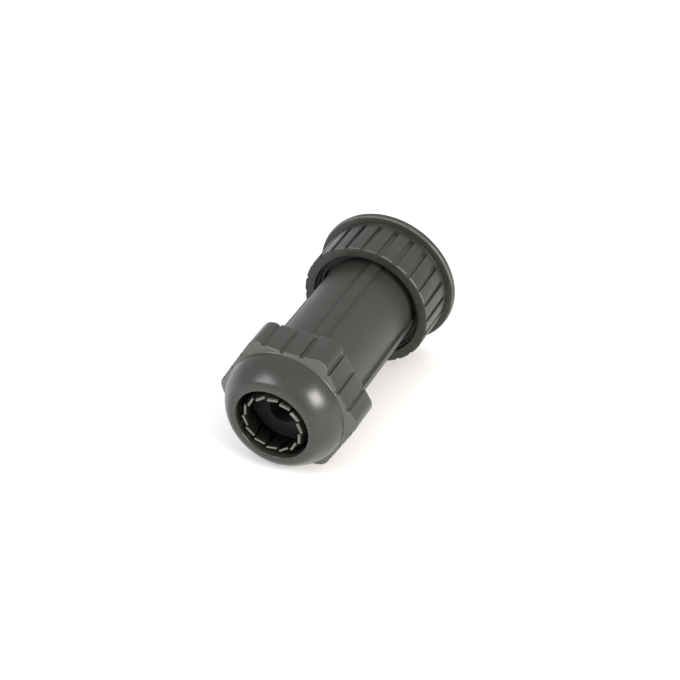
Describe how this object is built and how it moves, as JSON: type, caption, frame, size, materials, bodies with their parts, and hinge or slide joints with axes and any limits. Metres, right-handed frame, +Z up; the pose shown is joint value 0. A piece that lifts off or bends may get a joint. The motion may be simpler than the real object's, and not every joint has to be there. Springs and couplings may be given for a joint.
{
  "type": "cable gland",
  "caption": "Weatherproof cable gland: ribbed housing tube with a domed hexagon clamping nut, finger claw, rubber seal and a free-turning ribbed coupling ring.",
  "frame": {"origin": "on the surface it lies on, under the middle of its length (bottom centre of its box)", "axes": "+Y along the gland's axis from the cable mouth to the coupling ring, +Z up, one flat of the nut facing down"},
  "size_m": [0.0318, 0.056, 0.0317],
  "materials": {
    "housing_plastic": "satin, finely grained moulded nylon",
    "nut_plastic": "satin, smoothly polished dome",
    "ring_plastic": "satin moulded nylon",
    "claw_plastic": "satin moulded nylon",
    "washer_plastic": "smooth moulded acetal",
    "seal_rubber": "matt moulded rubber",
    "gasket_rubber": "matt moulded rubber"
  },
  "bodies": {
    "housing": {"housing_tube": "housing_plastic", "claw_cage": "claw_plastic", "cable_seal": "seal_rubber", "coupling_gasket": "gasket_rubber"},
    "pressure_ring": {"pressure_ring": "washer_plastic"},
    "gland_nut": {"gland_nut": "nut_plastic"},
    "claw_finger_01": {"claw_finger_01": "claw_plastic"},
    "claw_finger_02": {"claw_finger_02": "claw_plastic"},
    "claw_finger_03": {"claw_finger_03": "claw_plastic"},
    "claw_finger_04": {"claw_finger_04": "claw_plastic"},
    "claw_finger_05": {"claw_finger_05": "claw_plastic"},
    "claw_finger_06": {"claw_finger_06": "claw_plastic"},
    "claw_finger_07": {"claw_finger_07": "claw_plastic"},
    "claw_finger_08": {"claw_finger_08": "claw_plastic"},
    "claw_finger_09": {"claw_finger_09": "claw_plastic"},
    "claw_finger_10": {"claw_finger_10": "claw_plastic"},
    "claw_finger_11": {"claw_finger_11": "claw_plastic"},
    "claw_finger_12": {"claw_finger_12": "claw_plastic"},
    "claw_finger_13": {"claw_finger_13": "claw_plastic"},
    "claw_finger_14": {"claw_finger_14": "claw_plastic"},
    "slip_washer": {"slip_washer": "washer_plastic"},
    "coupling_ring": {"coupling_ring": "ring_plastic"}
  },
  "joints": [
    {"name": "nut_advance", "type": "slide", "parent": "housing", "child": "pressure_ring", "axis": [0, 1, 0], "range_m": [-0.00226, 0.00113], "deforming": ["cable_seal"]},
    {"name": "nut_turn", "type": "hinge", "parent": "pressure_ring", "child": "gland_nut", "pos_m": [0, -0.01895, 0.01585], "axis": [0, 1, 0], "range_deg": [-540, 270]},
    {"name": "claw_finger_01_bend", "type": "hinge", "parent": "housing", "child": "claw_finger_01", "pos_m": [0.00034, -0.02175, 0.02404], "axis": [0.9991, 0, -0.0419], "range_deg": [-15.02, 7.52]},
    {"name": "claw_finger_02_bend", "type": "hinge", "parent": "housing", "child": "claw_finger_02", "pos_m": [0.00386, -0.02175, 0.02308], "axis": [0.882, 0, -0.4712], "range_deg": [-15.02, 7.52]},
    {"name": "claw_finger_03_bend", "type": "hinge", "parent": "housing", "child": "claw_finger_03", "pos_m": [0.00662, -0.02175, 0.02069], "axis": [0.5902, 0, -0.8073], "range_deg": [-15.02, 7.52]},
    {"name": "claw_finger_04_bend", "type": "hinge", "parent": "housing", "child": "claw_finger_04", "pos_m": [0.00806, -0.02175, 0.01734], "axis": [0.1815, 0, -0.9834], "range_deg": [-15.02, 7.52]},
    {"name": "claw_finger_05_bend", "type": "hinge", "parent": "housing", "child": "claw_finger_05", "pos_m": [0.00791, -0.02175, 0.01369], "axis": [-0.2632, 0, -0.9648], "range_deg": [-15.02, 7.52]},
    {"name": "claw_finger_06_bend", "type": "hinge", "parent": "housing", "child": "claw_finger_06", "pos_m": [0.00619, -0.02175, 0.01047], "axis": [-0.6557, 0, -0.755], "range_deg": [-15.02, 7.52]},
    {"name": "claw_finger_07_bend", "type": "hinge", "parent": "housing", "child": "claw_finger_07", "pos_m": [0.00325, -0.02175, 0.00832], "axis": [-0.9183, 0, -0.3958], "range_deg": [-15.02, 7.52]},
    {"name": "claw_finger_08_bend", "type": "hinge", "parent": "housing", "child": "claw_finger_08", "pos_m": [-0.00034, -0.02175, 0.00766], "axis": [-0.9991, 0, 0.0419], "range_deg": [-15.02, 7.52]},
    {"name": "claw_finger_09_bend", "type": "hinge", "parent": "housing", "child": "claw_finger_09", "pos_m": [-0.00386, -0.02175, 0.00862], "axis": [-0.882, 0, 0.4712], "range_deg": [-15.02, 7.52]},
    {"name": "claw_finger_10_bend", "type": "hinge", "parent": "housing", "child": "claw_finger_10", "pos_m": [-0.00662, -0.02175, 0.01101], "axis": [-0.5902, 0, 0.8073], "range_deg": [-15.02, 7.52]},
    {"name": "claw_finger_11_bend", "type": "hinge", "parent": "housing", "child": "claw_finger_11", "pos_m": [-0.00806, -0.02175, 0.01436], "axis": [-0.1815, 0, 0.9834], "range_deg": [-15.02, 7.52]},
    {"name": "claw_finger_12_bend", "type": "hinge", "parent": "housing", "child": "claw_finger_12", "pos_m": [-0.00791, -0.02175, 0.01801], "axis": [0.2632, 0, 0.9648], "range_deg": [-15.02, 7.52]},
    {"name": "claw_finger_13_bend", "type": "hinge", "parent": "housing", "child": "claw_finger_13", "pos_m": [-0.00619, -0.02175, 0.02123], "axis": [0.6557, 0, 0.755], "range_deg": [-15.02, 7.52]},
    {"name": "claw_finger_14_bend", "type": "hinge", "parent": "housing", "child": "claw_finger_14", "pos_m": [-0.00325, -0.02175, 0.02338], "axis": [0.9183, 0, 0.3958], "range_deg": [-15.02, 7.52]},
    {"name": "ring_slide", "type": "slide", "parent": "housing", "child": "slip_washer", "axis": [0, 1, 0], "range_m": [-0.027, 0]},
    {"name": "ring_spin", "type": "hinge", "parent": "slip_washer", "child": "coupling_ring", "pos_m": [0, 0.02205, 0.01585], "axis": [0, 1, 0], "continuous": true}
  ],
  "couplings": [
    {"joint": "nut_advance", "follows": "nut_turn", "m_per_rad": 0.00023873},
    {"joint": "claw_finger_01_bend", "follows": "nut_turn", "ratio": 0.027778},
    {"joint": "claw_finger_02_bend", "follows": "nut_turn", "ratio": 0.027778},
    {"joint": "claw_finger_03_bend", "follows": "nut_turn", "ratio": 0.027778},
    {"joint": "claw_finger_04_bend", "follows": "nut_turn", "ratio": 0.027778},
    {"joint": "claw_finger_05_bend", "follows": "nut_turn", "ratio": 0.027778},
    {"joint": "claw_finger_06_bend", "follows": "nut_turn", "ratio": 0.027778},
    {"joint": "claw_finger_07_bend", "follows": "nut_turn", "ratio": 0.027778},
    {"joint": "claw_finger_08_bend", "follows": "nut_turn", "ratio": 0.027778},
    {"joint": "claw_finger_09_bend", "follows": "nut_turn", "ratio": 0.027778},
    {"joint": "claw_finger_10_bend", "follows": "nut_turn", "ratio": 0.027778},
    {"joint": "claw_finger_11_bend", "follows": "nut_turn", "ratio": 0.027778},
    {"joint": "claw_finger_12_bend", "follows": "nut_turn", "ratio": 0.027778},
    {"joint": "claw_finger_13_bend", "follows": "nut_turn", "ratio": 0.027778},
    {"joint": "claw_finger_14_bend", "follows": "nut_turn", "ratio": 0.027778}
  ]
}
